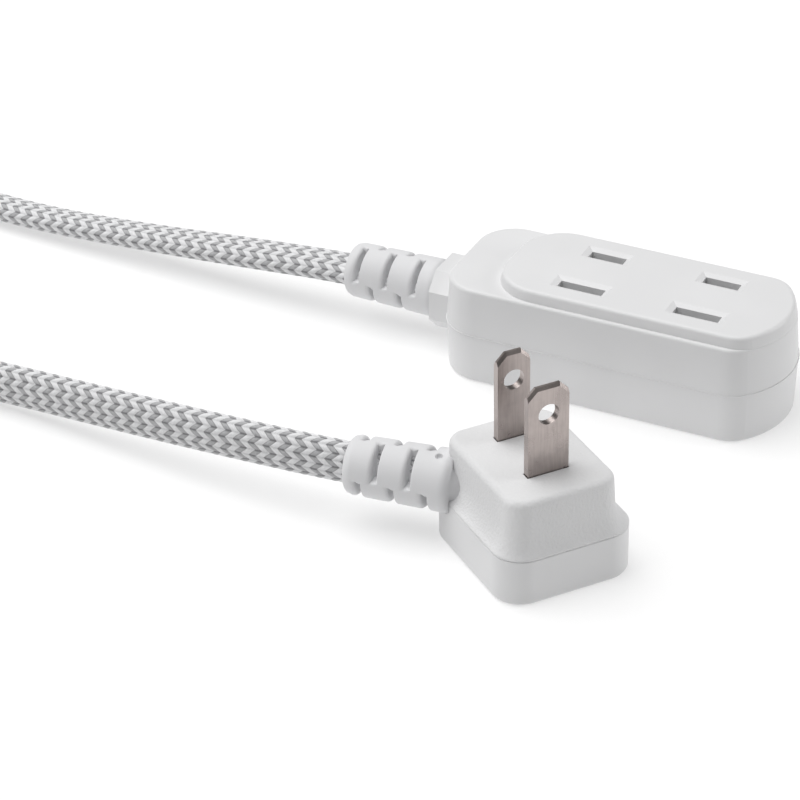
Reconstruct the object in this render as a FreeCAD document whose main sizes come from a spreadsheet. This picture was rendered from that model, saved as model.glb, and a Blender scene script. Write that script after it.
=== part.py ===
"""Two-outlet indoor extension cord with a flat angled plug and a braided lead.

Frame: millimetres, +Z up. The origin is on the surface that the outlet bar lies on,
midway between its two outlets. +X runs along the bar, away from its cord end.
"""
import FreeCAD, Part
import Sketcher
import math
import os
import re

Vector = FreeCAD.Vector
doc = FreeCAD.newDocument("ExtensionCord")

# ---------------------------------------------------------------- driving dimensions
DIMENSIONS = [
    # outlet bar, outside
    ("bar_left", 39.4, "cord end of the bar, measured from the origin"),
    ("bar_right", 29.0, "free end of the bar"),
    ("bar_half", 14.05, "half width at the parting line"),
    ("bar_corner", 8.3, "plan radius of the corners at the cord end"),
    ("bar_end", 17.6, "plan radius of the crowned free end"),
    ("bar_nose", 6.6, "plan radius of the corners at the free end"),
    ("parting", 10.6, "height of the line where the two housings are welded"),
    ("rim_height", 20.1, "height of the shoulder round the raised face"),
    ("face_height", 22.3, "height of the raised face"),
    ("lower_draft", 2.16, "draft of the lower housing, degrees"),
    ("upper_draft", 3.9, "draft of the upper housing, degrees"),
    ("wall", 1.8, "housing wall"),
    ("bead", 0.12, "how far the weld bead stands proud"),
    ("bead_height", 0.2, "height of the weld bead"),
    ("foot_round", 1.0, "rounding of the feet of the bar and the plug"),
    ("shoulder_round", 0.8, "rounding of the shoulder"),
    ("roof_inset", 0.55, "how much further in the upper cavity starts than the lower one"),
    # raised face
    ("face_left", 29.0, "cord end of the raised face"),
    ("face_right", 28.3, "free end of the raised face"),
    ("face_half", 12.7, "half width of the raised face at its foot"),
    ("face_corner", 9.4, "plan radius of the face at the cord end"),
    ("face_end", 16.5, "plan radius of the face's crowned free end"),
    ("face_nose", 5.9, "plan radius of the face's corners at the free end"),
    ("face_draft", 12.8, "slope of the edge of the raised face, degrees"),
    ("face_round", 0.9, "rounding of the edge of the raised face"),
    ("skirt_gap", 0.15, "clearance of the face plate's skirt in the cavity"),
    ("skirt_drop", 1.5, "depth of that skirt"),
    # outlets
    ("outlet_offset", 11.75, "each outlet from the origin, along the bar"),
    ("blade_offset", 6.35, "each blade from the centre line of its pair"),
    ("wide_slot", 9.1, "length of the neutral slot"),
    ("narrow_slot", 7.2, "length of the hot slot"),
    ("slot_width", 2.2, "width of every slot"),
    ("lead_in", 1.1, "bevel round a slot, across"),
    ("lead_in_depth", 0.55, "bevel round a slot, deep"),
    # cord entry
    ("cord_height", 10.5, "axis of the cord where it enters the bar"),
    ("collar_length", 4.2, "collar beyond the end of the bar"),
    ("bar_seat", 1.7, "plain root of the bar's strain relief, against the collar"),
    ("collar_half", 7.0, "half width of the collar"),
    ("collar_rise", 6.25, "half height of the collar"),
    ("collar_corner", 3.2, "corner radius of the collar"),
    # strain reliefs
    ("relief_length", 18.2, "visible length of a strain relief"),
    ("relief_tip", 5.45, "radius at the tip"),
    ("relief_root", 5.8, "radius at the root"),
    ("relief_round", 1.6, "rounding of the tip"),
    ("neck_radius", 4.3, "neck that the housing grips"),
    ("relief_flange", 5.0, "flange inside the housing"),
    ("flange_thick", 2.4, "thickness of that flange"),
    ("first_slot", 3.1, "first relief slot, from the tip"),
    ("slot_pitch", 3.12, "from one relief slot to the next, a quarter turn round"),
    ("relief_slot", 1.35, "width of a relief slot"),
    ("slot_floor", 3.6, "radius that a relief slot is cut down to"),
    ("slot_sweep", 84.0, "angle that a relief slot covers, degrees"),
    ("mark_radius", 0.6, "gate mark on the plug's strain relief"),
    ("mark_place", 0.9, "gate mark from the root of the sleeve"),
    ("mark_depth", 0.9, "depth of the gate mark"),
    # cord
    ("cord_radius", 3.25, "round tube with the section area of the flat lead"),
    ("lead_wide", 4.25, "half the width of the flat lead"),
    ("lead_thin", 2.5, "half the thickness of the flat lead"),
    ("lead_radius", 1.2, "insulated conductor"),
    ("lead_spread", 1.6, "each conductor from the axis of the cord"),
    # contacts and their carrier
    ("carrier_low", 5.6, "underside of the contact carrier"),
    ("carrier_top", 14.4, "top of the contact carrier"),
    ("carrier_left", 25.0, "cord end of the carrier"),
    ("carrier_right", 25.0, "free end of the carrier"),
    ("carrier_half", 10.8, "half width of the carrier"),
    ("carrier_corner", 5.0, "plan radius of the carrier at the cord end"),
    ("carrier_nose", 9.0, "plan radius of the carrier at the free end"),
    ("channel_in", 4.6, "inner side of a contact channel"),
    ("channel_out", 8.6, "outer side of a contact channel"),
    ("leaf_gap", 1.2, "gap between the two leaves of a contact"),
    ("leaf_thick", 0.6, "contact sheet"),
    ("leaf_half", 5.6, "half length of the short leaf"),
    ("bridge", 1.0, "web that joins the leaves beyond the blade"),
    ("post_radius", 2.0, "posts under the carrier"),
    ("post_offset_x", 20.0, "posts along the bar"),
    ("post_offset_y", 7.6, "posts across the bar"),
    # shutters
    ("shutter_low", 14.8, "underside of a shutter"),
    ("shutter_top", 16.5, "top of a shutter"),
    ("shutter_half", 5.6, "half length of a shutter, along the bar"),
    ("shutter_near", 7.9, "near end of a shutter"),
    ("shutter_far", 8.2, "far end of a shutter"),
    ("ramp_foot", 15.2, "foot of the ramps that the blades press on"),
    ("ramp_crest", 5.0, "crest of the near ramp"),
    ("window_near", 2.65, "window of a shutter, near side"),
    ("window_far", 4.85, "window of a shutter, far side"),
    ("rail_gap", 0.35, "running clearance beside a shutter"),
    ("rail_thick", 1.2, "guide rails on the carrier"),
    ("spring_thick", 0.3, "leaf spring sheet"),
    ("spring_foot", 4.8, "half length of a shutter spring"),
    ("spring_crown", 1.2, "half length of the flat that presses on the shutter"),
    ("spring_height", 1.3, "height of a shutter spring"),
    # plug
    ("plug_x", 1.65, "centre of the blades in the bar's frame"),
    ("plug_y", -60.16, "centre of the blades in the bar's frame"),
    ("plug_turn", 52.35, "turn of the plug on the surface, degrees"),
    ("base_left", 12.6, "plug base, cord side"),
    ("base_right", 13.8, "plug base, far from the cord"),
    ("base_near", 15.7, "plug base, neutral side"),
    ("base_far", 14.5, "plug base, hot side"),
    ("base_corner", 5.6, "corner radius of the base"),
    ("step_height", 9.3, "height of the step between the covers"),
    ("front_draft", 3.0, "draft of the front cover, degrees"),
    ("front_spread", 0.592, "how much wider the front cover is at the step than at its face"),
    ("lip_height", 0.5, "upright lip of the front cover, above the step"),
    ("flare_height", 4.4, "flare of the front cover, above the lip"),
    ("flare_draft", 34.0, "slope of the flare from upright, degrees"),
    ("front_height", 20.3, "height of the plug's front face"),
    ("front_left", 10.4, "front face, cord side"),
    ("front_right", 10.6, "front face, far from the cord"),
    ("front_near", 14.1, "front face, neutral side"),
    ("front_far", 12.8, "front face, hot side"),
    ("front_corner", 3.6, "corner radius of the front face"),
    ("front_round", 1.2, "rounding of the front face"),
    ("step_round", 0.3, "rounding of the step"),
    ("plug_wall", 2.0, "wall of the plug's covers"),
    ("entry_height", 11.5, "axis of the cord where it enters the plug"),
    ("socket_depth", 13.4, "where the strain relief's sleeve seats, from the blade centre"),
    ("thick_corner", 10.0, "inner face of the corner that holds the strain relief"),
    ("plug_relief_root", 15.2, "root of the plug's strain relief"),
    # blades
    ("blade_length", 17.5, "blade beyond the front face"),
    ("blade_thick", 1.5, "blade thickness"),
    ("neutral_width", 7.94, "wide blade"),
    ("hot_width", 6.35, "narrow blade"),
    ("blade_hole", 2.0, "radius of the hole in a blade"),
    ("hole_height", 11.9, "hole above the front face"),
    ("blade_corner", 1.6, "cut corner of a blade tip"),
    ("tip_bevel", 0.5, "bevel of a blade tip"),
    ("tail_half", 1.5, "half width of the blade's tail"),
    ("tail_low", 7.0, "lower end of the blade's tail"),
    ("shank_low", 12.0, "lower end of the full-width shank"),
    ("block_low", 14.4, "underside of the blade carrier"),
    ("block_left", 7.8, "blade carrier, cord side"),
    ("block_right", 8.0, "blade carrier, far from the cord"),
    ("block_near", 9.6, "blade carrier, neutral side"),
    ("block_far", 9.2, "blade carrier, hot side"),
    ("block_cut", 6.8, "cut corner of the blade carrier"),
    # coil of the put-away length
    ("coil_x", -222.0, "centre of the coil"),
    ("coil_y", -26.0, "centre of the coil"),
    ("coil_inner", 31.6, "inside radius of the coil"),
    ("coil_outer", 56.4, "outside radius of the coil"),
    ("coil_height", 17.4, "two layers of the flat lead on edge"),
    ("tie_width", 7.0, "tie round the coil"),
    ("tie_thick", 0.9, "thickness of the tie"),
]

sheet = doc.addObject("Spreadsheet::Sheet", "Dimensions")
for row, (alias, number, meaning) in enumerate(DIMENSIONS, start=1):
    sheet.set(f"A{row}", meaning)
    sheet.set(f"B{row}", str(number))
    sheet.setAlias(f"B{row}", alias)
doc.recompute()

parts = []
DIAGONAL = math.sqrt(0.5)
ARC_SHARE = 0.45  # how much of a run each of its two bends may take


# ---------------------------------------------------------------- helpers
def cell(text):
    """An expression in which each word names a cell of the sheet."""
    return re.sub(r"[a-z_]+", r"Dimensions.\g<0>", str(text))


def size(text):
    """The value of such an expression."""
    return float(sheet.evalExpression(cell(text)))


def keep(obj, label, placement=None):
    """Count an object as a sub-part and name it."""
    obj.Label = label
    if placement is not None:
        obj.Placement = placement
    parts.append(obj)
    return obj


def new_body(name):
    return doc.addObject("PartDesign::Body", name)


def origin_plane(body, role):
    return [feature for feature in body.Origin.OriginFeatures if feature.Role == role][0]


def sketch_on(body, name, role="XY_Plane", height=None, base=None, axis=None, angle=0):
    """A sketch on an origin plane of its body, moved along the normal or turned."""
    sketch = body.newObject("Sketcher::SketchObject", name)
    sketch.AttachmentSupport = (origin_plane(body, role), [""])
    sketch.MapMode = "FlatFace"
    if axis is not None:
        rotation = FreeCAD.Rotation(axis, angle)
        sketch.AttachmentOffset = FreeCAD.Placement(base or Vector(), rotation)
    elif height is not None:
        sketch.setExpression("AttachmentOffset.Base.z", cell(height))
    return sketch


def bind(sketch, kind, *where, to):
    """A dimensional constraint bound to cells of the sheet."""
    index = sketch.addConstraint(Sketcher.Constraint(kind, *where, size(to)))
    sketch.setExpression(f"Constraints[{index}]", cell(to))


def polygon(sketch, corners):
    """A closed outline of straight edges, each corner bound to the sheet."""
    points = [Vector(size(x), size(y), 0) for x, y in corners]
    first = sketch.GeometryCount
    count = len(points)
    for index in range(count):
        sketch.addGeometry(Part.LineSegment(points[index], points[(index + 1) % count]))
    for index, (x, y) in enumerate(corners):
        line = first + index
        sketch.addConstraint(
            Sketcher.Constraint("Coincident", line, 2, first + (index + 1) % count, 1))
        bind(sketch, "DistanceX", -1, 1, line, 1, to=x)
        bind(sketch, "DistanceY", -1, 1, line, 1, to=y)


def rectangle(sketch, left, right, low, high):
    polygon(sketch, [(left, low), (right, low), (right, high), (left, high)])


def circle(sketch, x, y, radius):
    index = sketch.addGeometry(Part.Circle(Vector(size(x), size(y), 0), Vector(0, 0, 1), size(radius)))
    bind(sketch, "Radius", index, to=radius)
    bind(sketch, "DistanceX", -1, 1, index, 3, to=x)
    bind(sketch, "DistanceY", -1, 1, index, 3, to=y)


def rounded(sketch, left, right, low, high, left_radius, right_radius):
    """A rectangle with one radius at its two left corners and one at its right ones."""
    x0, x1, y0, y1 = size(left), size(right), size(low), size(high)
    rl, rr = size(left_radius), size(right_radius)
    first = sketch.GeometryCount
    up = Vector(0, 0, 1)
    quarter = math.pi / 2

    def line(ax, ay, bx, by):
        sketch.addGeometry(Part.LineSegment(Vector(ax, ay, 0), Vector(bx, by, 0)))

    def corner(x, y, radius, turn):
        arc = Part.ArcOfCircle(Part.Circle(Vector(x, y, 0), up, radius), turn * quarter, (turn + 1) * quarter)
        sketch.addGeometry(arc)

    line(x0 + rl, y0, x1 - rr, y0)
    corner(x1 - rr, y0 + rr, rr, 3)
    line(x1, y0 + rr, x1, y1 - rr)
    corner(x1 - rr, y1 - rr, rr, 0)
    line(x1 - rr, y1, x0 + rl, y1)
    corner(x0 + rl, y1 - rl, rl, 1)
    line(x0, y1 - rl, x0, y0 + rl)
    corner(x0 + rl, y0 + rl, rl, 2)
    for index in range(8):
        here, after = first + index, first + (index + 1) % 8
        sketch.addConstraint(Sketcher.Constraint("Tangent", here, 2, after, 1))
    sketch.addConstraint(Sketcher.Constraint("Horizontal", first))
    sketch.addConstraint(Sketcher.Constraint("Vertical", first + 2))
    sketch.addConstraint(Sketcher.Constraint("Equal", first + 1, first + 3))
    sketch.addConstraint(Sketcher.Constraint("Equal", first + 5, first + 7))
    bind(sketch, "Radius", first + 1, to=right_radius)
    bind(sketch, "Radius", first + 5, to=left_radius)
    bind(sketch, "DistanceX", -1, 1, first + 6, 1, to=left)
    bind(sketch, "DistanceX", -1, 1, first + 2, 1, to=right)
    bind(sketch, "DistanceY", -1, 1, first, 1, to=low)
    bind(sketch, "DistanceY", -1, 1, first + 4, 1, to=high)


def nosed(sketch, left, right, half, left_radius, end_radius, nose_radius):
    """A long outline whose right end is a shallow arc between two small corners."""
    x0, x1, y1 = size(left), size(right), size(half)
    rl, re, rn = size(left_radius), size(end_radius), size(nose_radius)
    first = sketch.GeometryCount
    up = Vector(0, 0, 1)
    end_x = x1 - re
    nose_y = y1 - rn
    nose_x = end_x + math.sqrt((re - rn) ** 2 - nose_y ** 2)
    lean = math.atan2(nose_y, nose_x - end_x)

    def line(ax, ay, bx, by):
        sketch.addGeometry(Part.LineSegment(Vector(ax, ay, 0), Vector(bx, by, 0)))

    def arc(x, y, radius, begin, finish):
        sketch.addGeometry(Part.ArcOfCircle(Part.Circle(Vector(x, y, 0), up, radius), begin, finish))

    line(x0 + rl, -y1, nose_x, -y1)
    arc(nose_x, -nose_y, rn, -math.pi / 2, -lean)
    arc(end_x, 0, re, -lean, lean)
    arc(nose_x, nose_y, rn, lean, math.pi / 2)
    line(nose_x, y1, x0 + rl, y1)
    arc(x0 + rl, y1 - rl, rl, math.pi / 2, math.pi)
    line(x0, y1 - rl, x0, rl - y1)
    arc(x0 + rl, rl - y1, rl, math.pi, 1.5 * math.pi)
    for index in range(8):
        here, after = first + index, first + (index + 1) % 8
        sketch.addConstraint(Sketcher.Constraint("Tangent", here, 2, after, 1))
    for level_line in (first, first + 4):
        sketch.addConstraint(Sketcher.Constraint("Horizontal", level_line))
    sketch.addConstraint(Sketcher.Constraint("Vertical", first + 6))
    sketch.addConstraint(Sketcher.Constraint("Equal", first + 1, first + 3))
    sketch.addConstraint(Sketcher.Constraint("Equal", first + 5, first + 7))
    bind(sketch, "Radius", first + 1, to=nose_radius)
    bind(sketch, "Radius", first + 2, to=end_radius)
    bind(sketch, "Radius", first + 5, to=left_radius)
    bind(sketch, "DistanceX", -1, 1, first + 6, 1, to=left)
    bind(sketch, "DistanceX", -1, 1, first + 2, 3, to=f"{right} - ({end_radius})")
    bind(sketch, "DistanceY", -1, 1, first + 2, 3, to="0")
    bind(sketch, "DistanceY", -1, 1, first, 1, to=f"-({half})")
    bind(sketch, "DistanceY", -1, 1, first + 4, 1, to=half)


def extrude(body, kind, name, sketch, length, taper=None, reverse=False, both=False):
    """A Pad or a Pocket whose length, and taper if any, come from the sheet."""
    feature = body.newObject("PartDesign::" + kind, name)
    feature.Profile = sketch
    feature.setExpression("Length", cell(length))
    if taper is not None:
        feature.setExpression("TaperAngle", cell(taper))
    feature.Reversed = reverse
    feature.Midplane = both
    sketch.Visibility = False
    doc.recompute()
    return feature


def cut_changes(body, before, name):
    """Stop if a cut took nothing away."""
    if abs(body.Shape.Volume - before) < 1e-3:
        raise RuntimeError(name + " changed nothing")


def pad(body, name, sketch, length, **options):
    return extrude(body, "Pad", name, sketch, length, **options)


def pocket(body, name, sketch, length, **options):
    before = body.Shape.Volume
    feature = extrude(body, "Pocket", name, sketch, length, **options)
    cut_changes(body, before, name)
    return feature


def edge_names(shape, test):
    return [f"Edge{i}" for i, edge in enumerate(shape.Edges, start=1) if test(edge)]


def level(height, tolerance=0.02):
    """A test for edges that lie whole at one height."""
    def test(edge):
        box = edge.BoundBox
        return abs(box.ZMin - height) < tolerance and abs(box.ZMax - height) < tolerance
    return test


def soften(body, name, radius, test, kind="Fillet"):
    """Fillet or chamfer the edges of the body's tip that pass a test."""
    base = body.Tip
    names = edge_names(base.Shape, test)
    if not names:
        raise RuntimeError(name + " found no edge")
    feature = body.newObject("PartDesign::" + kind, name)
    feature.Base = (base, names)
    feature.setExpression("Radius" if kind == "Fillet" else "Size", cell(radius))
    doc.recompute()
    return feature


def turned(angle, x=0, y=0, z=0):
    return FreeCAD.Placement(Vector(x, y, z), FreeCAD.Rotation(Vector(0, 0, 1), angle))


def plug_point(along, across, height):
    """A point of the plug, by its distance out along the cord entry and to the side."""
    x = (across - along) * DIAGONAL
    y = (across + along) * DIAGONAL
    return plug_place.multVec(Vector(x, y, height))


def tube(label, points, radius):
    """A round tube along straight runs joined by the largest tangent arcs that fit."""
    points = [Vector(*point) for point in points]
    edges = []
    radii = []
    start = points[0]
    for before, corner, after in zip(points, points[1:], points[2:]):
        back = (before - corner).normalize()
        ahead = (after - corner).normalize()
        half_turn = (math.pi - back.getAngle(ahead)) / 2
        reach = ARC_SHARE * min((corner - before).Length, (after - corner).Length)
        bend = reach / math.tan(half_turn)
        middle = corner + (back + ahead).normalize() * (bend / math.cos(half_turn) - bend)
        entry = corner + back * reach
        leave = corner + ahead * reach
        edges.append(Part.LineSegment(start, entry).toShape())
        edges.append(Part.Arc(entry, middle, leave).toShape())
        radii.append(round(bend, 1))
        start = leave
    edges.append(Part.LineSegment(start, points[-1]).toShape())
    spine = Part.Wire(edges)
    heading = points[1] - points[0]
    section = Part.Wire([Part.Circle(points[0], heading, radius).toShape()])
    solid = spine.makePipeShell([section], True, False)
    expected = math.pi * radius ** 2 * spine.Length
    print(label, "length", round(spine.Length, 1), "bend radii", radii,
          "volume ratio", round(solid.Volume / expected, 4))
    feature = doc.addObject("Part::Feature", label.title().replace("_", ""))
    feature.Shape = solid
    return keep(feature, label)


plug_place = turned(size("plug_turn"), size("plug_x"), size("plug_y"))


# ---------------------------------------------------------------- outlet bar, housings
def bar_plan(sketch, gap="0"):
    """The outline of the bar at its parting line, inset by a gap."""
    nosed(sketch, f"-bar_left + ({gap})", f"bar_right - ({gap})", f"bar_half - ({gap})",
          f"bar_corner - ({gap})", f"bar_end - ({gap})", f"bar_nose - ({gap})")


def face_plan(sketch):
    """The outline of the raised face at its foot."""
    nosed(sketch, "-face_left", "face_right", "face_half", "face_corner", "face_end", "face_nose")


def collar(body, name, sign):
    """Half of the collar that the strain relief comes out of."""
    sketch = sketch_on(body, name + "Plan", "YZ_Plane", "-bar_left - collar_length")
    edge = "cord_height + collar_rise" if sign > 0 else "cord_height - collar_rise"
    cut = "collar_corner"
    if sign > 0:
        corners = [("-collar_half", "parting"), ("collar_half", "parting"),
                   ("collar_half", f"{edge} - {cut}"), (f"collar_half - {cut}", edge),
                   (f"-collar_half + {cut}", edge), ("-collar_half", f"{edge} - {cut}")]
    else:
        corners = [("-collar_half", "parting"), ("-collar_half", f"{edge} + {cut}"),
                   (f"-collar_half + {cut}", edge), (f"collar_half - {cut}", edge),
                   ("collar_half", f"{edge} + {cut}"), ("collar_half", "parting")]
    polygon(sketch, corners)
    return pad(body, name, sketch, "collar_length + bar_corner")


def relief_bore(body, name):
    """The bore that grips the neck of the strain relief."""
    sketch = sketch_on(body, name + "Plan", "YZ_Plane", "-bar_left - collar_length - 1")
    circle(sketch, "0", "cord_height", "neck_radius")
    return pocket(body, name, sketch, "collar_length + wall + 1.5", reverse=True)


def lower_housing():
    body = new_body("LowerHousing")
    plan = sketch_on(body, "LowerPlan", height="parting")
    bar_plan(plan)
    pad(body, "LowerShell", plan, "parting", taper="-lower_draft", reverse=True)
    soften(body, "FootRound", "foot_round", level(0))
    collar(body, "LowerCollar", -1)
    cavity = sketch_on(body, "LowerCavityPlan", height="parting")
    bar_plan(cavity, "wall")
    pocket(body, "LowerCavity", cavity, "parting - wall")
    posts = sketch_on(body, "PostPlan", height="wall")
    for sx in ("-", ""):
        for sy in ("-", ""):
            circle(posts, sx + "post_offset_x", sy + "post_offset_y", "post_radius")
    pad(body, "Posts", posts, "carrier_low - wall")
    relief_bore(body, "LowerBore")
    bead = sketch_on(body, "BeadPlan", height="parting - bead_height")
    bar_plan(bead, "-bead")
    bar_plan(bead, "wall / 2")
    pad(body, "WeldBead", bead, "bead_height")
    return keep(body, "lower_housing")


def upper_housing():
    body = new_body("UpperHousing")
    plan = sketch_on(body, "UpperPlan", height="parting")
    bar_plan(plan)
    pad(body, "UpperShell", plan, "rim_height - parting", taper="-upper_draft")
    soften(body, "ShoulderRound", "shoulder_round", level(size("rim_height")))
    collar(body, "UpperCollar", 1)
    cavity = sketch_on(body, "UpperCavityPlan", height="parting")
    bar_plan(cavity, "wall + roof_inset")
    pocket(body, "UpperCavity", cavity, "rim_height - wall - parting", reverse=True)
    opening = sketch_on(body, "FaceOpeningPlan", height="rim_height - wall")
    face_plan(opening)
    pocket(body, "FaceOpening", opening, "wall + 1", reverse=True)
    relief_bore(body, "UpperBore")
    return keep(body, "upper_housing")


def slots(sketch, length, side):
    """One row of slots, one in each outlet: the wide ones are neutral, the narrow ones hot."""
    for place in ("-outlet_offset", "outlet_offset"):
        rectangle(sketch, f"{place} - {length} / 2", f"{place} + {length} / 2",
                  f"{side}blade_offset - slot_width / 2", f"{side}blade_offset + slot_width / 2")


def face_plate():
    body = new_body("FacePlate")
    under = "rim_height - wall"
    plan = sketch_on(body, "FacePlan", height=under)
    face_plan(plan)
    pad(body, "FaceBlock", plan, "wall")
    raised = sketch_on(body, "RaisedPlan", height="rim_height")
    face_plan(raised)
    pad(body, "RaisedFace", raised, "face_height - rim_height", taper="-face_draft")
    soften(body, "FaceRound", "face_round", level(size("face_height")))
    skirt = sketch_on(body, "SkirtPlan", height=under)
    inset = "wall + roof_inset + skirt_gap"
    nosed(skirt, "-face_left + skirt_gap", f"bar_right - ({inset})", f"bar_half - ({inset})",
          "face_corner - 1", f"bar_end - ({inset})", f"bar_nose - ({inset})")
    pad(body, "Skirt", skirt, "skirt_drop", reverse=True)
    for name, length, side in (("NeutralSlots", "wide_slot", "-"), ("HotSlots", "narrow_slot", "")):
        slot_plan = sketch_on(body, name + "Plan", height="face_height")
        slots(slot_plan, length, side)
        pocket(body, name, slot_plan, "face_height - parting")
    top = size("face_height")

    def slot_edge(edge):
        box = edge.BoundBox
        inside = abs(box.Center.y) < size("blade_offset + slot_width")
        return level(top)(edge) and inside and box.DiagonalLength < size("wide_slot") + 0.5

    bevel = soften(body, "LeadIn", "lead_in", slot_edge, kind="Chamfer")
    bevel.ChamferType = "Two distances"
    bevel.setExpression("Size2", cell("lead_in_depth"))
    doc.recompute()
    return keep(body, "face_plate")


# ---------------------------------------------------------------- outlet bar, inside
def contact_carrier():
    body = new_body("ContactCarrier")
    plan = sketch_on(body, "CarrierPlan", height="carrier_low")
    rounded(plan, "-carrier_left", "carrier_right", "-carrier_half", "carrier_half",
            "carrier_corner", "carrier_nose")
    pad(body, "CarrierBlock", plan, "carrier_top - carrier_low")
    channels = sketch_on(body, "ChannelPlan", height="carrier_top")
    for low, high in (("-channel_out", "-channel_in"), ("channel_in", "channel_out")):
        rectangle(channels, "-carrier_left + 2.5", "carrier_right - 3.5", low, high)
    pocket(body, "Channels", channels, "carrier_top - carrier_low + 1")
    notch = sketch_on(body, "LeadNotchPlan", height="carrier_top")
    for side in ("-", ""):
        rectangle(notch, "-carrier_left - 1", "-carrier_left + 3", f"{side}channel_in", f"{side}channel_out")
    pocket(body, "LeadNotches", notch, "carrier_top - carrier_low + 1")
    rails = sketch_on(body, "RailPlan", height="carrier_top")
    for place in ("-outlet_offset", "outlet_offset"):
        edge = "(shutter_half + rail_gap)"
        rectangle(rails, f"{place} - {edge} - rail_thick", f"{place} - {edge}", "-channel_in", "channel_in")
        rectangle(rails, f"{place} + {edge}", f"{place} + {edge} + rail_thick", "-channel_in", "channel_in")
    pad(body, "Rails", rails, "shutter_top - carrier_top")
    return keep(body, "contact_carrier")


def contact_strip(name, label, side):
    """A bus strip with two spring contacts, each a pair of leaves either side of a blade."""
    body = new_body(name)

    def span(inner, outer):
        if side > 0:
            return f"blade_offset + {inner}", f"blade_offset + {outer}"
        return f"-blade_offset - ({outer})", f"-blade_offset - ({inner})"

    plan = sketch_on(body, name + "Plan", height="carrier_low + 1")
    low, high = span("leaf_gap / 2", "leaf_gap / 2 + leaf_thick")
    rectangle(plan, "-carrier_left + 3", "outlet_offset + leaf_half", low, high)
    pad(body, name + "Bus", plan, "carrier_top - carrier_low - 2.4")
    leaves = sketch_on(body, name + "LeafPlan", height="carrier_low + 1")
    for place in ("-outlet_offset", "outlet_offset"):
        low, high = span("(-leaf_gap / 2 - leaf_thick)", "(-leaf_gap / 2)")
        rectangle(leaves, f"{place} - leaf_half", f"{place} + leaf_half", low, high)
    pad(body, name + "Leaves", leaves, "carrier_top - carrier_low - 2.4")
    webs = sketch_on(body, name + "WebPlan", height="carrier_low + 1")
    low, high = span("(-leaf_gap / 2 - 0.1)", "leaf_gap / 2 + 0.1")
    for place in ("-outlet_offset", "outlet_offset"):
        rectangle(webs, f"{place} - leaf_half", f"{place} - leaf_half + bridge", low, high)
        rectangle(webs, f"{place} + leaf_half - bridge", f"{place} + leaf_half", low, high)
    pad(body, name + "Webs", webs, "2.2")
    return keep(body, label)


def shutter(index, place):
    """A slide that closes both slots of an outlet, with a ramp under each slot."""
    name = f"Shutter{index}"
    body = new_body(name)
    profile = sketch_on(body, name + "Profile", "YZ_Plane", place)
    polygon(profile, [("-shutter_near", "shutter_low"), ("shutter_far", "shutter_low"),
                      ("shutter_far", "shutter_top"), ("window_far", "ramp_foot"),
                      ("window_near", "ramp_foot"), ("window_near", "shutter_top"),
                      ("-ramp_crest", "shutter_top"), ("-shutter_near", "ramp_foot")])
    pad(body, name + "Slide", profile, "2 * shutter_half", both=True)
    window = sketch_on(body, name + "WindowPlan", height="shutter_top")
    rectangle(window, f"{place} - 4.7", f"{place} + 4.7", "window_near", "window_far")
    pocket(body, name + "Window", window, "3")
    return keep(body, f"shutter_{index}")


def shutter_spring(index, place):
    """A bowed leaf spring between a shutter and the side of the housing."""
    name = f"ShutterSpring{index}"
    body = new_body(name)
    plan = sketch_on(body, name + "Plan", height="shutter_low + 0.2")
    near, far = "shutter_far", "(bar_half - wall - roof_inset)"
    foot, crown = "spring_foot", "spring_crown"
    polygon(plan, [(f"{place} - {foot}", f"{far} - spring_thick"), (f"{place} - {crown}", near),
                   (f"{place} + {crown}", near), (f"{place} + {foot}", f"{far} - spring_thick"),
                   (f"{place} + {foot}", far), (f"{place} + {crown}", f"{near} + spring_thick"),
                   (f"{place} - {crown}", f"{near} + spring_thick"), (f"{place} - {foot}", far)])
    pad(body, name + "Leaf", plan, "spring_height")
    return keep(body, f"shutter_spring_{index}")


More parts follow.
